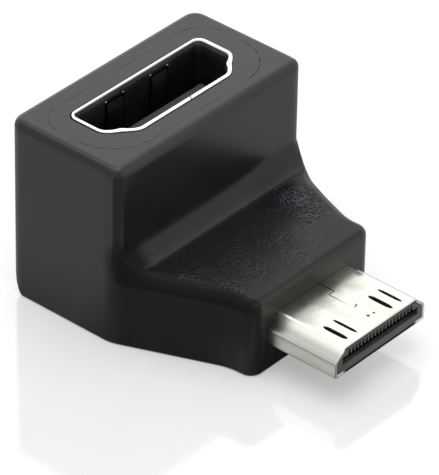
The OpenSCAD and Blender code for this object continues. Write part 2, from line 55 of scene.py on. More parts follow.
BODY_W, BODY_H = 21.1, 15.8
BACK_Y, FRONT_Y, TIP_Y, PLUG_END_Y = 13.95, 2.85, -7.35, -13.95
NOSE_W, NOSE_H, NOSE_REACH, NOSE_STRAIGHT = 13.7, 6.9, 10.2, 2.2
TAPER_SETBACK, SHOULDER_R, WAIST_R, SWEEP_R = 0.8, 3.0, 5.2, 1.9
REAR_CORNER_R, FRONT_CORNER_R, NOSE_CORNER_R = 1.3, 0.9, 1.1
TOP_EDGE_R, NOSE_EDGE_R, NOSE_SIDE_EDGE_R, HEEL_R, SOLE_EDGE_R = 0.7, 0.6, 1.1, 2.3, 0.25
WALL, CORE_BACK_R, CORE_FRONT_R, MOULD_GAP, FIT_GAP = 1.25, 2.2, 3.8, 0.03, 0.02
SHORTEST_RUN, EDGE_LIMIT, RIB_NARROWING = 0.02, 0.45, 0.25

SOCKET_Y, SOCKET_W, SOCKET_H, NARROW_W, CHEEK_H = 8.15, 14.0, 4.55, 9.9, 2.9
SHOULDER_BEND, CORNER_BEND, SHELL_T, LIP_W, MOUTH_Z, BOARD_TOP = 0.8, 0.4, 0.3, 0.15, 15.9, 4.1
BOARD_T, LEG_W, LEG_CLEAR = 0.8, 1.5, 0.5
FINGER_X, FINGER_W, FINGER_L, FINGER_DEPTH, SLIT_W = 2.5, 1.7, 4.6, 0.65, 0.25
SEAM_X, SEAM_LEAN, SEAM_W = 0.85, 35.0, 0.08

PLUG_W, PLUG_H, PLUG_BOTTOM, PLUG_SHELL_T = 10.42, 2.42, 2.49, 0.25
BEVEL_W, BEVEL_H, FOOT_R, BEVEL_R = 1.2, 1.0, 0.2, 0.45
PLUG_SHELL_END_Y, INSULATOR_END_Y = -4.75, -5.75
SLOT_W, SLOT_BOTTOM, SLOT_TOP, SLOT_DEPTH = 8.8, 3.36, 4.50, 6.0
SPRING_SLITS = ((3.1, 0.3), (1.98, 0.42), (-2.12, 0.3), (-3.24, 0.42))
SLIT_INSET, SLIT_L = 0.52, 2.4
PLUG_MARKS = ((0.28, -11.22, 0.07, 0.8), (0.42, -11.16, 0.07, 0.8), (0.56, -11.1, 0.07, 0.8),
              (0.6, -12.74, 0.1, 0.85), (0.04, -12.66, 0.12, 0.9), (3.75, -8.75, 0.3, 0.45))


# Outlines

def corner_arc(before, corner, after, radius, steps):
    """Points of the arc that rounds a corner between its two neighbours."""
    to_before = (before - corner) / np.linalg.norm(before - corner)
    to_after = (after - corner) / np.linalg.norm(after - corner)
    half = math.acos(max(-1.0, min(1.0, float(to_before @ to_after)))) / 2
    middle = (to_before + to_after) / np.linalg.norm(to_before + to_after)
    centre = corner + middle * radius / math.sin(half)
    begin = corner + to_before * radius / math.tan(half)
    start = math.atan2(*(begin - centre)[::-1])
    ahead, behind = corner - before, after - corner
    turn = (math.pi - 2 * half) * np.sign(ahead[0] * behind[1] - ahead[1] * behind[0])
    return [centre + radius * np.array((math.cos(start + turn * k / steps),
                                        math.sin(start + turn * k / steps)))
            for k in range(steps + 1)]


def rounded(corners, steps=12):
    """Closed outline through (x, y, radius) corners."""
    points, count = [], len(corners)
    for i, (x, y, radius) in enumerate(corners):
        before = np.array(corners[i - 1][:2], float)
        after = np.array(corners[(i + 1) % count][:2], float)
        here = np.array((x, y), float)
        points += corner_arc(before, here, after, radius, steps) if radius > 0 else [here]
    return np.array(points)


def mirrored(right):
    """Corners on the right side, then the same ones on the left, running anticlockwise."""
    return list(right) + [(-x, y, radius) for x, y, radius in reversed(right)]


def stepped(points, step):
    """The outline with its long straight sides cut into steps."""
    out = []
    for a, b in zip(points, np.roll(points, -1, axis=0)):
        parts = max(1, math.ceil(np.linalg.norm(b - a) / step))
        out += [a + (b - a) * k / parts for k in range(parts)]
    return np.array(out)


def socket_outline(grow, steps=10):
    """Outline of the socket's opening in plan, grown by grow on every side."""
    slope = math.atan2(SOCKET_H - CHEEK_H, (SOCKET_W - NARROW_W) / 2)
    half_narrow = NARROW_W / 2 + grow * math.tan(slope / 2)
    cheek_y = SOCKET_H / 2 - CHEEK_H - grow * math.tan(math.pi / 4 - slope / 2)
    points = rounded(mirrored((
        (half_narrow, -SOCKET_H / 2 - grow, SHOULDER_BEND + grow),
        (SOCKET_W / 2 + grow, cheek_y, SHOULDER_BEND + grow),
        (SOCKET_W / 2 + grow, SOCKET_H / 2 + grow, CORNER_BEND + grow))), steps)
    return points + np.array((0, SOCKET_Y))


def plug_outline(inset, steps=6):
    """Outline of the plug as (x, z), shrunk by inset on every side."""
    lean = math.atan2(BEVEL_W, BEVEL_H)
    half_top = PLUG_W / 2 - BEVEL_W - inset * math.tan(math.pi / 4 - lean / 2)
    side_top = PLUG_H - BEVEL_H - inset * math.tan(lean / 2)
    least = 0.02
    return rounded(mirrored((
        (PLUG_W / 2 - inset, inset, max(least, FOOT_R - inset)),
        (PLUG_W / 2 - inset, side_top, max(least, BEVEL_R - inset)),
        (half_top, PLUG_H - inset, max(least, BEVEL_R - inset)))), steps) + np.array((0, PLUG_BOTTOM))


def core_outlines(gap):
    """Plan outlines of the inner moulding's tower and neck, grown by gap."""
    half, front, back = BODY_W / 2 - WALL, FRONT_Y + WALL, 2 * SOCKET_Y - FRONT_Y - WALL
    root, root_y = half - CORE_FRONT_R / 2, FRONT_Y + TAPER_SETBACK + CORE_FRONT_R
    tower = rounded(mirrored(((half + gap, front - gap, CORE_FRONT_R + gap),
                              (half + gap, back + gap, CORE_BACK_R + gap))), 14)
    neck = rounded(mirrored((
        (NOSE_W / 2 - WALL + gap, TIP_Y + WALL - gap, 0), (NOSE_W / 2 - WALL + gap, TIP_Y + NOSE_STRAIGHT, 0),
        (root + gap, root_y, 0), (root + gap, front + CORE_FRONT_R, 0))), 1)
    return tower, neck


# Meshes

def mesh_object(name, points, faces):
    """A new object at the origin with its place, given in millimetres, in its mesh."""
    mesh = bpy.data.meshes.new(name)
    mesh.from_pydata([tuple(float(c) * MM for c in p) for p in points], [], [tuple(f) for f in faces])
    mesh.validate()
    obj = bpy.data.objects.new(name, mesh)
    bpy.context.scene.collection.objects.link(obj)
    return obj


def loft(name, rings, closed=False):
    """Closed skin over rings of as many points each, with flat ends or closed on itself."""
    count = len(rings[0])
    points = [p for ring in rings for p in ring]
    spans = len(rings) if closed else len(rings) - 1
    faces = []
    for k in range(spans):
        low, high = k * count, (k + 1) % len(rings) * count
        faces += [(low + i, low + (i + 1) % count, high + (i + 1) % count, high + i) for i in range(count)]
    if not closed:
        faces += [tuple(reversed(range(count))), tuple(range(spans * count, (spans + 1) * count))]
    obj = mesh_object(name, points, faces)
    outwards(obj)
    return obj


def outwards(obj):
    """Turns the faces of a closed mesh outwards."""
    import bmesh
    shape = bmesh.new()
    shape.from_mesh(obj.data)
    bmesh.ops.recalc_face_normals(shape, faces=shape.faces)
    shape.to_mesh(obj.data)
    shape.free()


def prism(name, outline, low, high):
    """Upright solid over a plan outline."""
    return loft(name, [[(x, y, low) for x, y in outline], [(x, y, high) for x, y in outline]])


def bar(name, low, high):
    """Block between two corners, for cutting."""
    corners = [(low[0], low[1]), (high[0], low[1]), (high[0], high[1]), (low[0], high[1])]
    return prism(name, corners, low[2], high[2])


def settle(obj):
    """Applies the modifiers of an object to its mesh."""
    depsgraph = bpy.context.evaluated_depsgraph_get()
    mesh = bpy.data.meshes.new_from_object(obj.evaluated_get(depsgraph))
    obj.modifiers.clear()
    obj.data = mesh
    return obj


def carve(obj, tools, operation="DIFFERENCE"):
    """Cuts the tools out of an object, or joins them to it, and deletes them."""
    for tool in tools:
        step = obj.modifiers.new("carve", "BOOLEAN")
        step.operation, step.object, step.solver = operation, tool, "MANIFOLD"
    settle(obj)
    for tool in tools:
        bpy.data.objects.remove(tool)
    return obj


def dress(obj, material, node, angle=30.0):
    """Smooth shading with flat faces kept flat, a finish, and the place of a node of the model."""
    obj.data.shade_smooth()
    obj.data.set_sharp_from_angle(angle=math.radians(angle))
    weigh = obj.modifiers.new("weigh", "WEIGHTED_NORMAL")
    weigh.keep_sharp = True
    settle(obj)
    obj.data.materials.clear()
    obj.data.materials.append(material)
    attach(obj, "root")
    if node:
        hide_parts(*([node] if isinstance(node, str) else node))
    return obj


# Materials

def shader(name):
    """A new material, its nodes and links, and its main shader."""
    material = bpy.data.materials.new(name)
    material.use_nodes = True
    nodes, links = material.node_tree.nodes, material.node_tree.links
    return material, nodes, links, nodes["Principled BSDF"]


def noise(nodes, links, scale, detail=2.0, stretch=(1, 1, 1), roughness=0.5):
    """Noise on the object's own coordinates."""
    place = nodes.new("ShaderNodeTexCoord")
    mapping = nodes.new("ShaderNodeMapping")
    mapping.inputs["Scale"].default_value = stretch
    texture = nodes.new("ShaderNodeTexNoise")
    texture.inputs["Scale"].default_value = scale
    texture.inputs["Detail"].default_value = detail
    texture.inputs["Roughness"].default_value = roughness
    links.new(place.outputs["Object"], mapping.inputs["Vector"])
    links.new(mapping.outputs["Vector"], texture.inputs["Vector"])
    return texture.outputs["Fac"]


def ranged(nodes, links, value, low, high, to_low, to_high):
    """A value moved from one range into another, clamped."""
    node = nodes.new("ShaderNodeMapRange")
    for key, number in (("From Min", low), ("From Max", high), ("To Min", to_low), ("To Max", to_high)):
        node.inputs[key].default_value = number
    links.new(value, node.inputs["Value"])
    return node.outputs["Result"]


def sums(nodes, links, operation, first, second):
    """Arithmetic on two values or numbers."""
    node = nodes.new("ShaderNodeMath")
    node.operation = operation
    for socket, value in zip(node.inputs, (first, second)):
        if isinstance(value, (int, float)):
            socket.default_value = value
        else:
            links.new(value, socket)
    return node.outputs[0]


def coordinates(nodes, links):
    """The three object coordinates."""
    place, parts = nodes.new("ShaderNodeTexCoord"), nodes.new("ShaderNodeSeparateXYZ")
    links.new(place.outputs["Object"], parts.inputs["Vector"])
    return [parts.outputs[axis] for axis in "XYZ"]


def along(nodes, links, value, low, high, to_low=0.0, to_high=1.0):
    """A coordinate in millimetres moved into another range, clamped."""
    return ranged(nodes, links, value, low * MM, high * MM, to_low, to_high)


def near(nodes, links, place, inner, outer):
    """1 within the inner distance of a place in millimetres, 0 beyond the outer one."""
    spot, away = nodes.new("ShaderNodeTexCoord"), nodes.new("ShaderNodeVectorMath")
    away.operation = "DISTANCE"
    links.new(spot.outputs["Object"], away.inputs[0])
    away.inputs[1].default_value = tuple(c * MM for c in place)
    return along(nodes, links, away.outputs["Value"], inner, outer, 1.0, 0.0)


def blend_colour(nodes, links, value, dark, pale):
    """A colour between two by a value."""
    ramp = nodes.new("ShaderNodeValToRGB")
    ramp.color_ramp.elements[0].color = (*dark, 1)
    ramp.color_ramp.elements[1].color = (*pale, 1)
    links.new(value, ramp.inputs["Fac"])
    return ramp.outputs["Color"]


def bump(nodes, links, height, distance, strength=1.0, normal=None):
    """Bump of a height pattern, distance in metres."""
    node = nodes.new("ShaderNodeBump")
    node.inputs["Distance"].default_value = distance
    node.inputs["Strength"].default_value = strength
    links.new(height, node.inputs["Height"])
    if normal is not None:
        links.new(normal, node.inputs["Normal"])
    return node.outputs["Normal"]


def black_moulding(name, dark, pale, leather=False):
    """Satin black moulding, with leather grain on top of the nose where leather is set; there the specular level is
    also lowered in places, as painted shade over highlights.
    """
    material, nodes, links, surface = shader(name)
    mottle = noise(nodes, links, 260, 3)
    colour = blend_colour(nodes, links, mottle, dark, pale)
    fine = noise(nodes, links, 14000, 2)
    links.new(ranged(nodes, links, mottle, 0.3, 0.7, 0.25, 0.31), surface.inputs["Roughness"])
    surface.inputs["Specular IOR Level"].default_value = 0.5
    skin = bump(nodes, links, fine, 0.000004, 0.35)
    x, y, z = coordinates(nodes, links)
    scuffs = ranged(nodes, links, noise(nodes, links, 480, 3, (1, 3, 1), 0.6), 0.62, 0.72, 0, 1)
    scuffs = sums(nodes, links, "MULTIPLY", scuffs, along(nodes, links, z, BODY_H - 0.4, BODY_H - 0.1))
    skin = bump(nodes, links, scuffs, 0.00003, 0.5, skin)
    surface.inputs["Specular Tint"].default_value = (1, 0.985, 0.91, 1)
    if leather:
        top = sums(nodes, links, "MULTIPLY", along(nodes, links, z, NOSE_H - 0.3, NOSE_H - 0.05),
                   along(nodes, links, z, NOSE_H + 0.02, NOSE_H + 0.1, 1, 0))
        nose = sums(nodes, links, "MULTIPLY", along(nodes, links, z, NOSE_H - 1.3, NOSE_H - 0.9),
                    along(nodes, links, z, NOSE_H + 0.02, NOSE_H + 0.1, 1, 0))
        nose = sums(nodes, links, "MULTIPLY", nose, along(nodes, links, y, TIP_Y + 0.2, TIP_Y + 0.9))
        ahead = along(nodes, links, y, FRONT_Y + 0.5, FRONT_Y - 0.2)
        nose, top = (sums(nodes, links, "MULTIPLY", mask, ahead) for mask in (nose, top))
        patch = near(nodes, links, (5.2, -1.0, NOSE_H), 1.2, 3.6)
        for place, inner, outer in (((-6.4, -3.4, NOSE_H), 0.6, 3.2), ((-6.9, -1.0, NOSE_H), 0.5, 2.4)):
            patch = sums(nodes, links, "MAXIMUM", patch, near(nodes, links, place, inner, outer))
        sparse = sums(nodes, links, "MULTIPLY", near(nodes, links, (-1.2, -3.0, NOSE_H), 2.0, 6.0), 0.55)
        patch = sums(nodes, links, "MAXIMUM", patch, sparse)
        patch = sums(nodes, links, "MULTIPLY", patch, ranged(nodes, links, noise(nodes, links, 420, 2), 0.38, 0.56, 0.2, 1))
        patch = sums(nodes, links, "MULTIPLY", patch, top)
        # Painted shade: where the nose's surface leans to -X near its top, the grain is weakened and the specular level
        # lowered, dimming the highlight on its left top edge.
        facing, apart = nodes.new("ShaderNodeNewGeometry"), nodes.new("ShaderNodeSeparateXYZ")
        links.new(facing.outputs["Normal"], apart.inputs["Vector"])
        leaning = ranged(nodes, links, apart.outputs["X"], -0.05, -0.3, 0, 1)
        leaning = sums(nodes, links, "MULTIPLY", leaning, sums(nodes, links, "MULTIPLY", ahead,
                                                               along(nodes, links, z, NOSE_H + 0.02, NOSE_H + 0.1, 1, 0)))
        patch = sums(nodes, links, "MULTIPLY", patch, sums(nodes, links, "SUBTRACT", 1, sums(nodes, links, "MULTIPLY", leaning, 0.6)))
        folds = nodes.new("ShaderNodeTexVoronoi")
        folds.feature = "DISTANCE_TO_EDGE"
        folds.inputs["Scale"].default_value = 3500
        warp = noise(nodes, links, 1500, 2)
        offset = nodes.new("ShaderNodeVectorMath")
        offset.operation = "MULTIPLY_ADD"
        spot, turned = nodes.new("ShaderNodeTexCoord"), nodes.new("ShaderNodeMapping")
        turned.inputs["Rotation"].default_value = (0, 0, 0.5)
        turned.inputs["Scale"].default_value = (1.2, 0.65, 1)
        links.new(spot.outputs["Object"], turned.inputs["Vector"])
        links.new(warp, offset.inputs[0])
        offset.inputs[1].default_value = (0.0004, 0.0004, 0)
        links.new(turned.outputs["Vector"], offset.inputs[2])
        links.new(offset.outputs[0], folds.inputs["Vector"])
        grain = ranged(nodes, links, folds.outputs["Distance"], 0.0, 0.18, 0, 1)
        skin = bump(nodes, links, sums(nodes, links, "MULTIPLY", grain, patch), 0.00002, 0.8, skin)
        # Painted shade: the specular level is cut on the nose's rounded edges to take away their highlight.
        edge = sums(nodes, links, "MULTIPLY", nose, sums(nodes, links, "SUBTRACT", 1, top))
        dull = sums(nodes, links, "ADD", sums(nodes, links, "MULTIPLY", edge, -0.42), sums(nodes, links, "MULTIPLY", top, -0.24))
        glints = sums(nodes, links, "MULTIPLY", patch, ranged(nodes, links, folds.outputs["Distance"], 0.04, 0.15, 0.42, -0.25))
        shade = sums(nodes, links, "MULTIPLY", near(nodes, links, (5.6, -0.4, NOSE_H), 1.5, 3.6), -0.12)
        # Painted shade: lower specular level at the corner where the nose's left shoulder meets the block's front.
        painted_corner_shade = sums(nodes, links, "MULTIPLY", near(nodes, links, (-9.9, 2.4, NOSE_H + 0.6), 1.0, 2.3), -0.36)
        # Painted shade: lower specular level up the sweep, dimming its reflection.
        sweep = sums(nodes, links, "MULTIPLY", along(nodes, links, z, NOSE_H - 0.05, NOSE_H + 0.15),
                     along(nodes, links, z, NOSE_H + SWEEP_R + 0.2, NOSE_H + SWEEP_R - 0.4, 0, -0.16))
        sweep = sums(nodes, links, "MULTIPLY", sweep, ahead)
        # Painted shade: lower specular level on the block's rounded top side edges, dimming their highlight.
        painted_top_edge_shade = sums(nodes, links, "MULTIPLY", along(nodes, links, z, BODY_H - TOP_EDGE_R, BODY_H - 0.4),
                            along(nodes, links, sums(nodes, links, "ABSOLUTE", x, 0), BODY_W / 2 - 0.7, BODY_W / 2 - 0.45, 0, -0.2))
        painted_left_edge_shade = sums(nodes, links, "MULTIPLY", leaning, -0.24)
        for change in (glints, shade, painted_corner_shade, sweep, painted_top_edge_shade, painted_left_edge_shade, 0.5):
            dull = sums(nodes, links, "ADD", dull, change)
        links.new(sums(nodes, links, "MAXIMUM", dull, 0.05), surface.inputs["Specular IOR Level"])
        for target, plain, blue in (("Base Color", colour, (0.0065, 0.007, 0.0125, 1)),
                                    ("Specular Tint", (1, 0.985, 0.91, 1), (0.95, 0.96, 1, 1))):
            tint = nodes.new("ShaderNodeMixRGB")
            links.new(patch, tint.inputs["Fac"])
            if target == "Base Color":
                links.new(plain, tint.inputs["Color1"])
            else:
                tint.inputs["Color1"].default_value = plain
            tint.inputs["Color2"].default_value = blue
            links.new(tint.outputs["Color"], surface.inputs[target])
    else:
        links.new(colour, surface.inputs["Base Color"])
    links.new(skin, surface.inputs["Normal"])
    return material


def nickel(name, tone, roughness, streaks=(1, 1, 1)):
    """Bright nickel plate with faint streaks and dull patches."""
    material, nodes, links, surface = shader(name)
    surface.inputs["Metallic"].default_value = 1.0
    dull = noise(nodes, links, 420, 4, streaks)
    links.new(blend_colour(nodes, links, dull, tuple(c * 0.93 for c in tone), tone), surface.inputs["Base Color"])
    links.new(ranged(nodes, links, dull, 0.3, 0.7, roughness + 0.06, roughness - 0.03), surface.inputs["Roughness"])
    links.new(bump(nodes, links, noise(nodes, links, 1600, 3, streaks), 0.000004, 0.4), surface.inputs["Normal"])
    return material


def rimmed_nickel(name, tone, roughness, edge, dark):
    """Nickel plate that is bright down to a height and dark below it, which is painted shade inside the socket, with
    painted highlight spots.
    """
    material, nodes, links, surface = shader(name)
    x, y, z = coordinates(nodes, links)
    dull = noise(nodes, links, 420, 4)
    # Painted shade: below the lip's edge the colour goes to the dark one.
    bright = along(nodes, links, z, edge - 0.06, edge)
    # Painted highlight: pale non-metal spots at the top corners of the back finger windows.
    corner = sums(nodes, links, "ABSOLUTE", sums(nodes, links, "SUBTRACT", sums(nodes, links, "ABSOLUTE", x, 0), FINGER_X * MM), 0)
    corner = sums(nodes, links, "ABSOLUTE", sums(nodes, links, "SUBTRACT", corner, (FINGER_W / 2 + SLIT_W / 2) * MM), 0)
    painted_glint_spot = sums(nodes, links, "ABSOLUTE", sums(nodes, links, "SUBTRACT", z, (edge + 0.12 - FINGER_DEPTH) * MM), 0)
    painted_glint_spot = sums(nodes, links, "MULTIPLY", along(nodes, links, corner, 0.1, 0.06), along(nodes, links, painted_glint_spot, 0.07, 0.04))
    painted_glint_spot = sums(nodes, links, "MULTIPLY", painted_glint_spot, along(nodes, links, y, SOCKET_Y + 1.5, SOCKET_Y + 1.6))
    links.new(sums(nodes, links, "SUBTRACT", 1, painted_glint_spot), surface.inputs["Metallic"])
    fade = sums(nodes, links, "MAXIMUM", painted_glint_spot, ranged(nodes, links, dull, 0.35, 0.65, 0.0, 0.04))
    links.new(blend_colour(nodes, links, sums(nodes, links, "ADD", bright, fade), dark, tone), surface.inputs["Base Color"])
    links.new(ranged(nodes, links, bright, 0, 1, 0.5, roughness), surface.inputs["Roughness"])
    links.new(bump(nodes, links, noise(nodes, links, 1600, 3), 0.000004, 0.4), surface.inputs["Normal"])
    return material


def plug_plate(name, tone):
    """Nickel plate of the plug: painted shade darkens it towards its root, a painted highlight runs along its bevels,
    and a dark front rim above and below is painted shade too.
    """
    material, nodes, links, surface = shader(name)
    surface.inputs["Metallic"].default_value = 1.0
    x, y, z = coordinates(nodes, links)
    streaks = noise(nodes, links, 700, 4, (1, 0.2, 1))
    shade_edge_noise = noise(nodes, links, 900, 4)
    # Painted shade: the plate darkens towards its root, with a ragged edge; on the top it is also painted lighter
    # towards +X.
    ragged = sums(nodes, links, "ADD", y, sums(nodes, links, "MULTIPLY", sums(nodes, links, "SUBTRACT", shade_edge_noise, 0.5), 0.002))
    top = along(nodes, links, ragged, TIP_Y - 1.3, TIP_Y - 3.0, 0.44, 0.89)
    rest = along(nodes, links, ragged, TIP_Y - 0.1, TIP_Y - 1.8, 0.3, 1.0)
    flat = along(nodes, links, z, PLUG_BOTTOM + PLUG_H - 0.16, PLUG_BOTTOM + PLUG_H - 0.03)
    top = sums(nodes, links, "MAXIMUM", top, along(nodes, links, x, 0.0, 3.0, 0.3, 0.85))
    bright = sums(nodes, links, "ADD", rest, sums(nodes, links, "MULTIPLY", flat, sums(nodes, links, "SUBTRACT", top, rest)))
    wide = sums(nodes, links, "ABSOLUTE", x, 0)
    # Painted highlight: full tone on the top and the upper band of the bevels, less on the rest of the bevels, and
    # painted lighter low on the side walls.
    bright = sums(nodes, links, "MULTIPLY", bright,
                  sums(nodes, links, "MAXIMUM", along(nodes, links, z, PLUG_BOTTOM + PLUG_H - 0.6, PLUG_BOTTOM + PLUG_H - 0.28, 0.62, 1.0),
                       along(nodes, links, z, PLUG_BOTTOM + 1.5, PLUG_BOTTOM + 1.2, 0.62, 0.95)))
    bright = sums(nodes, links, "MULTIPLY", bright, ranged(nodes, links, streaks, 0.3, 0.7, 0.8, 1.0))
    for x_mark, y_mark, size, depth in PLUG_MARKS:
        mark = near(nodes, links, (x_mark, y_mark, PLUG_BOTTOM + PLUG_H), 0.5 * size, 1.5 * size)
        bright = sums(nodes, links, "SUBTRACT", bright, sums(nodes, links, "MULTIPLY", mark, depth))
    # Painted shade: the front end of the shell, above and below the slot, goes nearly black, all but its top edge.
    rim = sums(nodes, links, "MULTIPLY", along(nodes, links, y, PLUG_END_Y + 0.08, PLUG_END_Y + 0.04),
               along(nodes, links, wide, PLUG_W / 2 - BEVEL_W, PLUG_W / 2 - 0.7 * BEVEL_W, 1, 0))
    rim = sums(nodes, links, "MULTIPLY", rim, along(nodes, links, z, PLUG_BOTTOM + PLUG_H - 0.1, PLUG_BOTTOM + PLUG_H - 0.14))
    bright = sums(nodes, links, "MULTIPLY", bright, ranged(nodes, links, rim, 0, 1, 1, 0.02))
    links.new(blend_colour(nodes, links, bright, (0, 0, 0), tone), surface.inputs["Base Color"])
    links.new(ranged(nodes, links, streaks, 0.3, 0.7, 0.3, 0.2), surface.inputs["Roughness"])
    links.new(bump(nodes, links, noise(nodes, links, 1600, 3, (1, 0.25, 1)), 0.000004, 0.4), surface.inputs["Normal"])
    return material


def plain_plastic(name, dark, pale, roughness, mouth=None):
    """Matt moulded plastic, black with almost no gloss behind the mouth where one is given, which is painted shade
    inside the slot.
    """
    material, nodes, links, surface = shader(name)
    mottle = noise(nodes, links, 900, 2)
    if mouth is not None:
        # Painted shade: behind the mouth the colour goes black and the gloss almost goes away.
        mottle = sums(nodes, links, "MULTIPLY", ranged(nodes, links, mottle, 0.3, 0.7, 0.7, 1.0),
                      along(nodes, links, coordinates(nodes, links)[1], mouth, mouth - 0.1))
        links.new(ranged(nodes, links, mottle, 0, 0.3, 0.02, 0.5), surface.inputs["Specular IOR Level"])
    links.new(blend_colour(nodes, links, mottle, dark, pale), surface.inputs["Base Color"])
    links.new(ranged(nodes, links, mottle, 0.3, 0.7, roughness - 0.04, roughness + 0.04), surface.inputs["Roughness"])
    links.new(bump(nodes, links, noise(nodes, links, 9000, 2), 0.000004, 0.4), surface.inputs["Normal"])
    return material


outer_black = black_moulding("outer moulding black", (0.0085, 0.0085, 0.0082), (0.0115, 0.0115, 0.011), leather=True)
inner_black = black_moulding("inner moulding black", (0.010, 0.010, 0.0097), (0.013, 0.013, 0.0125))
# The dark colour below the lip is painted shade inside the socket.
socket_nickel = rimmed_nickel("socket nickel", (0.95, 0.95, 0.93), 0.3, MOUTH_Z - 0.06, (0.045, 0.045, 0.043))
plug_nickel = plug_plate("plug nickel", (0.93, 0.915, 0.84))
insulator_black = plain_plastic("insulator black", (0.02, 0.02, 0.021), (0.028, 0.028, 0.029), 0.42)
# The black behind the slot's mouth is painted shade.
slot_grey = plain_plastic("plug insulator grey", (0.004, 0.004, 0.004), (0.075, 0.075, 0.07), 0.4, PLUG_END_Y + 0.5)
board_green = plain_plastic("solder mask green", (0.01, 0.06, 0.025), (0.014, 0.075, 0.03), 0.35)
contact_gold = nickel("contact gold", (0.85, 0.62, 0.28), 0.25)
contact_pale = nickel("pale contact plate", (0.62, 0.61, 0.58), 0.3)


# Outer moulding

def body_outline():
    return stepped(rounded(mirrored((
        (NOSE_W / 2, TIP_Y, NOSE_CORNER_R), (NOSE_W / 2, TIP_Y + NOSE_STRAIGHT, WAIST_R),
        (BODY_W / 2, FRONT_Y + TAPER_SETBACK, SHOULDER_R), (BODY_W / 2, BACK_Y, REAR_CORNER_R))), 12), 0.7)


def crown_x(p):
    return p[0] * (1 - RIB_NARROWING * max(0.0, FRONT_Y - p[1]) / NOSE_REACH)


def block_front(x):
    into = abs(x) - (BODY_W / 2 - FRONT_CORNER_R)
    if into <= 0:
        return FRONT_Y
    return FRONT_Y + FRONT_CORNER_R - math.sqrt(max(0.0, FRONT_CORNER_R ** 2 - into ** 2))


def crown_normal(p, normal):
    side = math.copysign(1, p[0])
    centre = np.array((side * (BODY_W / 2 - FRONT_CORNER_R), FRONT_Y + FRONT_CORNER_R))
    if p[1] >= centre[1]:
        return normal
    if side * (p[0] - centre[0]) <= 0:
        return np.array((0.0, -1.0))
    return (p - centre) / np.linalg.norm(p - centre)


def quarter(steps):
    """Quarter round as (inset, rise) shares of its radius."""
    return [(1 - math.cos(math.pi / 2 * k / steps), math.sin(math.pi / 2 * k / steps)) for k in range(steps + 1)]


def nose_top(y, sweep_y):
    return NOSE_H + SWEEP_R - math.sqrt(max(0.0, SWEEP_R ** 2 - max(0.0, y - sweep_y) ** 2))


def rib(p, normal, edge_steps, sweep_steps):
    """One rib of the skin, over the nose's edge, back along its top and up the sweep."""
    run = 0.0 if p[1] > FRONT_Y + FRONT_CORNER_R else block_front(crown_x(p)) - p[1]
    if run < SHORTEST_RUN:
        steps = edge_steps + sweep_steps + 1
        low, high = NOSE_H - NOSE_EDGE_R, NOSE_H + SWEEP_R
        return [(p[0], p[1] + run * k / steps, low + (high - low) * k / steps) for k in range(steps + 1)]
    share = max(0.0, min(1.0, (p[1] - TIP_Y - NOSE_CORNER_R) / (2 * NOSE_STRAIGHT)))
    edge_r = min(NOSE_EDGE_R + (NOSE_SIDE_EDGE_R - NOSE_EDGE_R) * share, EDGE_LIMIT * run)
    inner = p - edge_r * normal
    outer = np.array((crown_x(p), p[1] + run))
    sweep_y = outer[1] - SWEEP_R
    ledge = nose_top(inner[1], sweep_y)
    start_y = max(sweep_y, inner[1] + (outer[1] - inner[1]) / sweep_steps)
    start = math.asin((start_y - sweep_y) / SWEEP_R)
    points = []
    for inset, rise in quarter(edge_steps):
        at = p - edge_r * inset * normal
        points.append((at[0], at[1], ledge - edge_r * (1 - rise)))
    for k in range(sweep_steps + 1):
        y = sweep_y + SWEEP_R * math.sin(start + (math.pi / 2 - start) * k / sweep_steps)
        share = (y - inner[1]) / (outer[1] - inner[1])
        points.append((inner[0] + (outer[0] - inner[0]) * share, y, nose_top(y, sweep_y)))
    return points


def body_skin():
    """The whole outside of the body as one loft of ribs."""
    outline = body_outline()
    along = np.roll(outline, -1, axis=0) - np.roll(outline, 1, axis=0)
    along /= np.linalg.norm(along, axis=1)[:, None]
    normals = np.column_stack((along[:, 1], -along[:, 0]))
    ribs = [rib(p, n, 7, 14) for p, n in zip(outline, normals)]
    crown = np.array([r[-1][:2] for r in ribs])
    crown_normals = [crown_normal(c, n) for c, n in zip(crown, normals)]
    rings = []
    for inset, rise in reversed(quarter(6)):
        ring = []
        for p, n in zip(outline, normals):
            share = max(0.0, min(1.0, (p[1] - BACK_Y + REAR_CORNER_R) / REAR_CORNER_R))
            radius = SOLE_EDGE_R + (HEEL_R - SOLE_EDGE_R) * share
            at = p - inset * np.array((SOLE_EDGE_R, radius)) * n
            ring.append((at[0], at[1], radius * (1 - rise)))
        rings.append(ring)
    rings += [[r[k] for r in ribs] for k in range(len(ribs[0]))]
    rings += [[(*c, height) for c in crown] for height in (NOSE_H + SWEEP_R + 0.25, BODY_H - TOP_EDGE_R - 0.25)]
    for inset, rise in quarter(6):
        ring = []
        for c, n in zip(crown, crown_normals):
            at = c - TOP_EDGE_R * inset * n
            ring.append((at[0], at[1], BODY_H - TOP_EDGE_R * (1 - rise)))
        rings.append(ring)
    return loft("outer_moulding", rings)


def plug_prism(name, inset, low_y, high_y, steps=6):
    """Solid with the plug's outline between two places along the length."""
    outline = plug_outline(inset, steps)
    return loft(name, [[(x, y, z) for x, z in outline] for y in (low_y, high_y)])


def broken_gap(outline):
    """The tower's outline grown by a gap that opens and closes along the joint."""
    away = np.roll(outline, -1, axis=0) - np.roll(outline, 1, axis=0)
    away = np.column_stack((away[:, 1], -away[:, 0])) / np.linalg.norm(away, axis=1)[:, None]
    waves = 0.5 + 0.3 * np.sin(1.1 * outline[:, 0] + 0.7) + 0.2 * np.sin(2.3 * outline[:, 1] - outline[:, 0])
    return outline + away * (0.005 + 0.026 * np.clip(waves, 0, 1) ** 2)[:, None]


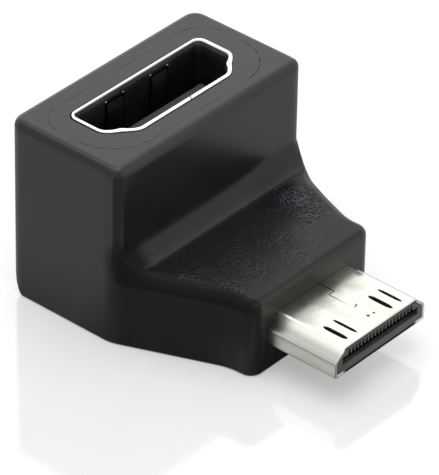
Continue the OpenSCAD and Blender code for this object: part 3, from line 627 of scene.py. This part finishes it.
housing = body_skin()
tower, neck = core_outlines(0.0)
tower = broken_gap(stepped(tower, 0.4))
neck = core_outlines(MOULD_GAP)[1]
carve(housing, [
    prism("tower", tower, WALL - MOULD_GAP, BODY_H + 1),
    prism("neck", neck, WALL - MOULD_GAP, NOSE_H - WALL + MOULD_GAP),
    plug_prism("tunnel", -FIT_GAP, PLUG_END_Y, PLUG_SHELL_END_Y + FIT_GAP)])
dress(housing, outer_black, "housing")


# Socket shell, with a rolled lip, a slanting seam and four spring fingers

def socket_ring(grow, height):
    """Outline at one height, with a small dent in the lip half way along either sloping shoulder."""
    lean = math.atan2(SOCKET_H - CHEEK_H, (SOCKET_W - NARROW_W) / 2)
    middle = np.array(((SOCKET_W + NARROW_W) / 4, SOCKET_Y - SOCKET_H / 2 + (SOCKET_H - CHEEK_H) / 2))
    deep = 0.13 * max(0.0, min(1.0, (height - MOUTH_Z + 0.6) / 0.4))
    outer = grow > LIP_W + SHELL_T / 2
    raised = max(0.0, min(1.0, (height - MOUTH_Z + 0.3) / 0.1))
    aside, forward = (0.03 * raised, 0.035 * raised) if outer else (0.03 * raised, -0.025 * raised)
    ring = []
    for x, y in stepped(socket_outline(grow), 0.3):
        away = math.hypot(abs(x) - middle[0], y - middle[1])
        dent = deep * math.exp(-(away / 0.42) ** 4)
        ring.append((x - math.copysign(dent * math.sin(lean), x) + aside, y + dent * math.cos(lean) - forward, height))
    return ring


def lip_profile():
    """Section of the shell's wall and lip as (grow, height), from the inside foot over the lip."""
    roll, edge, mouth, rim = 0.05, 0.05, LIP_W + 0.06, SHELL_T + LIP_W - 0.03
    points = [(0.0, BOARD_TOP), (0.0, MOUTH_Z - 1.2), (0.0, MOUTH_Z - 0.45), (0.05, MOUTH_Z - 0.3)]
    points += [(mouth - roll * (1 - inset), MOUTH_Z - roll * (1 - rise)) for inset, rise in quarter(3)]
    points += [(rim - edge * inset, MOUTH_Z - edge * (1 - rise)) for inset, rise in reversed(quarter(3))]
    points += [(rim, MOUTH_Z - SHELL_T), (SHELL_T, MOUTH_Z - SHELL_T), (SHELL_T, BOARD_TOP)]
    return points


def strip_row(name, path, row, width, thickness, bend):
    """A row of bent metal strips made by Geometry Nodes: one side view path, copied along X."""
    obj = mesh_object(name, [(0, y, z) for y, z in path], [])
    obj.data.clear_geometry()
    obj.data.from_pydata([(0, y * MM, z * MM) for y, z in path],
                         [(i, i + 1) for i in range(len(path) - 1)], [])
    tree = bpy.data.node_groups.new(name + " strips", "GeometryNodeTree")
    face = tree.interface
    face.new_socket("Path", in_out="INPUT", socket_type="NodeSocketGeometry")
    sizes = {}
    for label, kind, value in (("Count", "NodeSocketInt", row[0]), ("First", "NodeSocketVector", (row[1] * MM, 0, 0)),
                               ("Step", "NodeSocketVector", (row[2] * MM, 0, 0)),
                               ("Width", "NodeSocketFloat", width * MM), ("Thickness", "NodeSocketFloat", thickness * MM),
                               ("Bend", "NodeSocketFloat", bend * MM), ("Finish", "NodeSocketMaterial", None)):
        socket = face.new_socket(label, in_out="INPUT", socket_type=kind)
        sizes[label] = (socket.identifier, value)
    face.new_socket("Strips", in_out="OUTPUT", socket_type="NodeSocketGeometry")
    nodes, links = tree.nodes, tree.links
    source, end = nodes.new("NodeGroupInput"), nodes.new("NodeGroupOutput")
    curve = nodes.new("GeometryNodeMeshToCurve")
    links.new(source.outputs["Path"], curve.inputs["Mesh"])
    fillet = nodes.new("GeometryNodeFilletCurve")
    fillet.mode = "POLY"
    fillet.inputs["Count"].default_value = 4
    fillet.inputs["Limit Radius"].default_value = True
    links.new(curve.outputs["Curve"], fillet.inputs["Curve"])
    links.new(source.outputs["Bend"], fillet.inputs["Radius"])
    section = nodes.new("GeometryNodeCurvePrimitiveQuadrilateral")
    links.new(source.outputs["Width"], section.inputs["Width"])
    links.new(source.outputs["Thickness"], section.inputs["Height"])
    solid = nodes.new("GeometryNodeCurveToMesh")
    solid.inputs["Fill Caps"].default_value = True
    links.new(fillet.outputs["Curve"], solid.inputs["Curve"])
    links.new(section.outputs["Curve"], solid.inputs["Profile Curve"])
    line = nodes.new("GeometryNodeMeshLine")
    links.new(source.outputs["Count"], line.inputs["Count"])
    links.new(source.outputs["First"], line.inputs["Start Location"])
    links.new(source.outputs["Step"], line.inputs["Offset"])
    copies = nodes.new("GeometryNodeInstanceOnPoints")
    links.new(line.outputs["Mesh"], copies.inputs["Points"])
    links.new(solid.outputs["Mesh"], copies.inputs["Instance"])
    whole = nodes.new("GeometryNodeRealizeInstances")
    links.new(copies.outputs["Instances"], whole.inputs["Geometry"])
    finish = nodes.new("GeometryNodeSetMaterial")
    links.new(whole.outputs["Geometry"], finish.inputs["Geometry"])
    links.new(source.outputs["Finish"], finish.inputs["Material"])
    links.new(finish.outputs["Geometry"], end.inputs["Strips"])
    step = obj.modifiers.new("strips", "NODES")
    step.node_group = tree
    for label, (identifier, value) in sizes.items():
        if value is not None:
            step[identifier] = value
    settle(obj)
    outwards(obj)
    return obj


def socket_shell():
    shell = loft("socket_shell", [socket_ring(grow, height) for grow, height in lip_profile()], closed=True)
    top = MOUTH_Z - FINGER_DEPTH
    cuts = []
    for side in (1, -1):
        for x in (-FINGER_X, FINGER_X):
            near, far = sorted((SOCKET_Y + side * (SOCKET_H / 2 - 0.25), SOCKET_Y + side * (SOCKET_H / 2 + 0.6)))
            half = FINGER_W / 2 + SLIT_W
            cuts.append(bar("window", (x - half, near, top - FINGER_L), (x + half, far, top)))
    seam = bar("seam", (-SEAM_W / 2, -2, -1), (SEAM_W / 2, 0.6, MOUTH_Z + 1))
    seam.data.transform(Matrix.Translation(Vector((SEAM_X, SOCKET_Y - SOCKET_H / 2, 0)) * MM)
                        @ Matrix.Rotation(-math.radians(SEAM_LEAN), 4, "Z"))
    carve(shell, cuts + [seam])
    legs = []
    for x, y, along_x, along_y in ((SOCKET_W / 2 + SHELL_T / 2, SOCKET_H / 2 - CHEEK_H / 2, SHELL_T, LEG_W),
                                   (SOCKET_W / 3, SOCKET_H / 2 + SHELL_T / 2, LEG_W, SHELL_T)):
        for side in (1, -1):
            legs.append(bar("leg", (side * x - along_x / 2, SOCKET_Y + y - along_y / 2, BOARD_TOP - BOARD_T - LEG_CLEAR),
                            (side * x + along_x / 2, SOCKET_Y + y + along_y / 2, BOARD_TOP + 0.2)))
    for side in (1, -1):
        wall = SOCKET_Y + side * (SOCKET_H / 2 + SHELL_T / 2)
        bow = -side * 0.16
        path = [(wall, top - FINGER_L - 0.15), (wall, top - FINGER_L + 0.5), (wall + bow, top - 1.0),
                (wall + bow * 0.4, top - SLIT_W)]
        legs.append(strip_row("finger", path, (2, -FINGER_X, 2 * FINGER_X), FINGER_W, SHELL_T, 0.8))
    return carve(shell, legs, "UNION")


dress(socket_shell(), socket_nickel, "socket_shell")


# Plug shell, with a rounded front edge, four slits and a butt seam with a locking tab

def slit_cutter(x, width):
    """Slit with pointed round ends, as a leaf shape through the top of the shell."""
    low, high = PLUG_END_Y + SLIT_INSET, PLUG_END_Y + SLIT_INSET + SLIT_L
    middle, half = (low + high) / 2, SLIT_L / 2
    side = [(x + width / 2 * (1 - abs(t) ** 6), middle + half * t) for t in np.sin(np.linspace(-1, 1, 19) * math.pi / 2)]
    other = [(2 * x - px, py) for px, py in reversed(side[1:-1])]
    top = PLUG_BOTTOM + PLUG_H
    return prism("slit", side + other, top - PLUG_SHELL_T - 0.3, top + 0.3)


def plug_shell():
    edge = 0.09
    profile = [(PLUG_SHELL_T, PLUG_SHELL_END_Y), (0.0, PLUG_SHELL_END_Y)]
    profile += [(edge * inset, PLUG_END_Y + edge * (1 - rise)) for inset, rise in quarter(4)]
    profile += [(PLUG_SHELL_T - edge * inset, PLUG_END_Y + edge * (1 - rise)) for inset, rise in reversed(quarter(4))]
    rings = [[(x, y, z) for x, z in plug_outline(inset)] for inset, y in profile]
    shell = loft("plug_shell", rings, closed=True)
    top = PLUG_BOTTOM + PLUG_H
    cuts = [slit_cutter(x, width) for x, width in SPRING_SLITS]
    seam, x, lock_y, tab = 0.08, 0.075, TIP_Y - 1.4, 0.7
    for low, high in (((x, lock_y - seam), (x + tab, lock_y)),
                      ((x + tab - seam, lock_y - seam), (x + tab, PLUG_SHELL_END_Y + 0.5))):
        cuts.append(bar("seam", (*low, top - PLUG_SHELL_T - 0.2), (*high, top + 0.2)))
    cuts.append(prism("seam", [(x, PLUG_END_Y - 0.5), (x + 0.01, PLUG_END_Y - 0.5), (x + 0.01, lock_y - 2.3),
                               (x + seam, lock_y - 0.5), (x + seam, lock_y - 0.01), (x, lock_y - 0.01)],
                      top - PLUG_SHELL_T - 0.2, top + 0.2))
    return carve(shell, cuts)


dress(plug_shell(), plug_nickel, "plug_shell")


# Carried nodes

FINISHES = {"outer_moulding": outer_black, "inner_moulding": inner_black, "socket_metal": socket_nickel,
            "plug_metal": plug_nickel, "insulator": insulator_black, "board": board_green,
            "socket_contacts": contact_gold, "plug_contacts": contact_pale}
for part in frame["record"]["subparts"]:
    node = frame["nodes"][part["node"]]
    node.data.materials.clear()
    node.data.materials.append(slot_grey if part["node"] == "plug_insulator" else FINISHES[part["material_slot"]])


# Studio

def floor():
    """Pale floor that holds a faint mirror image and a soft shadow; seen in gloss it is darker, with painted dark
    sheets and a painted shadow that darken the object's reflections.
    """
    half = 900.0
    obj = mesh_object("studio_floor", [(-half, -half, 0), (half, -half, 0), (half, half, 0), (-half, half, 0)],
                      [(0, 1, 2, 3)])
    material, nodes, links, surface = shader("studio floor")
    surface.inputs["Roughness"].default_value = 0.1
    surface.inputs["IOR"].default_value = 2.5
    path = nodes.new("ShaderNodeLightPath")
    x, y, z = coordinates(nodes, links)
    # Painted shade, seen only in gloss: dark sheets to the left of the body and beside and in front of the plug, and
    # the whole floor a little darker.
    left = along(nodes, links, x, -9.2, -11.5)
    beside = sums(nodes, links, "MULTIPLY", along(nodes, links, x, -4.0, -6.0), along(nodes, links, y, -5.2, -3.2))
    painted_dark_sheet = sums(nodes, links, "MULTIPLY", sums(nodes, links, "MAXIMUM", left, beside), 0.65)
    for value, low, high in ((y, 10, 4), (y, -45, -30), (x, -60, -45)):
        painted_dark_sheet = sums(nodes, links, "MULTIPLY", painted_dark_sheet, along(nodes, links, value, low, high))
    ahead = sums(nodes, links, "MULTIPLY", along(nodes, links, x, 1, -3), along(nodes, links, y, -12.2, -13.5))
    inner = sums(nodes, links, "MULTIPLY", along(nodes, links, x, -7.9, -7.4), along(nodes, links, y, -7, -8))
    inner = sums(nodes, links, "MULTIPLY", inner, along(nodes, links, x, 1, -3))
    ahead = sums(nodes, links, "MAXIMUM", ahead, inner)
    painted_dark_sheet = sums(nodes, links, "MAXIMUM", painted_dark_sheet, sums(nodes, links, "MULTIPLY", ahead, 0.65))
    # Painted shadow, seen only in gloss: the floor under the body and just left of it is darker.
    painted_contact_shadow = sums(nodes, links, "MULTIPLY", along(nodes, links, x, -16, -11), 0.22)
    painted_dark_sheet = sums(nodes, links, "MAXIMUM", painted_dark_sheet, sums(nodes, links, "MULTIPLY", painted_contact_shadow, along(nodes, links, y, 0, 3)))
    gloss = sums(nodes, links, "MULTIPLY", path.outputs["Is Glossy Ray"], sums(nodes, links, "ADD", painted_dark_sheet, 0.46))
    links.new(blend_colour(nodes, links, gloss, (0.9, 0.9, 0.9), (0.03, 0.03, 0.03)), surface.inputs["Base Color"])
    white = nodes.new("ShaderNodeEmission")
    links.new(blend_colour(nodes, links, noise(nodes, links, 3, 1), (1, 1, 1), (1, 1, 1)), white.inputs["Color"])
    mix = nodes.new("ShaderNodeMixShader")
    share = sums(nodes, links, "MULTIPLY", path.outputs["Is Camera Ray"], 0.35)
    links.new(share, mix.inputs["Fac"])
    links.new(surface.outputs["BSDF"], mix.inputs[1])
    links.new(white.outputs["Emission"], mix.inputs[2])
    links.new(mix.outputs["Shader"], nodes["Material Output"].inputs["Surface"])
    obj.data.materials.append(material)


def lamp(name, place, aim, size, power):
    light = bpy.data.lights.new(name, "AREA")
    light.shape, light.size, light.size_y, light.energy = "RECTANGLE", size[0], size[1], power
    obj = bpy.data.objects.new(name, light)
    bpy.context.scene.collection.objects.link(obj)
    obj.location = place
    obj.rotation_euler = (Vector(aim) - Vector(place)).to_track_quat("-Z", "Y").to_euler()
    obj.visible_camera = False


def world():
    """Plain white surroundings: full for the camera and for gloss, softer as light."""
    sky = bpy.data.worlds.new("studio")
    bpy.context.scene.world = sky
    sky.use_nodes = True
    nodes, links = sky.node_tree.nodes, sky.node_tree.links
    path = nodes.new("ShaderNodeLightPath")
    seen = sums(nodes, links, "MAXIMUM", path.outputs["Is Camera Ray"], path.outputs["Is Glossy Ray"])
    seen = sums(nodes, links, "MAXIMUM", seen, path.outputs["Is Transmission Ray"])
    strength = ranged(nodes, links, seen, 0, 1, 0.7, 1.0)
    place, aim = nodes.new("ShaderNodeTexCoord"), nodes.new("ShaderNodeVectorMath")
    aim.operation = "DOT_PRODUCT"
    links.new(place.outputs["Generated"], aim.inputs[0])
    aim.inputs[1].default_value = (0.62, 0.53, 0.575)
    window = ranged(nodes, links, aim.outputs["Value"], 0.6, 0.95, 0, 0.45)
    strength = sums(nodes, links, "ADD", strength, sums(nodes, links, "MULTIPLY", window, path.outputs["Is Glossy Ray"]))
    background = nodes["Background"]
    background.inputs["Color"].default_value = (1, 1, 1, 1)
    links.new(strength, background.inputs["Strength"])


def camera():
    """The photograph's viewpoint, in millimetres."""
    data = bpy.data.cameras.new("camera")
    data.sensor_width, data.lens = 36.0, 365.75
    data.clip_start, data.clip_end = 0.01, 10
    obj = bpy.data.objects.new("camera", data)
    bpy.context.scene.collection.objects.link(obj)
    ahead = Vector((0.623082, 0.529747, -0.575445))
    right = Vector((0.656178, -0.754437, 0.015974))
    up = Vector((0.425675, 0.387547, 0.817685))
    turn = Matrix((right, up, -ahead)).transposed().to_4x4()
    obj.matrix_world = Matrix.Translation(Vector((-227.8615, -191.7957, 215.5427)) * MM) @ turn
    bpy.context.scene.camera = obj


floor()
world()
camera()
lamp("overhead softbox", (-0.05, 0.05, 0.5), (0, 0, 0), (0.5, 0.5), 1.6)
bpy.context.scene.view_settings.view_transform = "Standard"
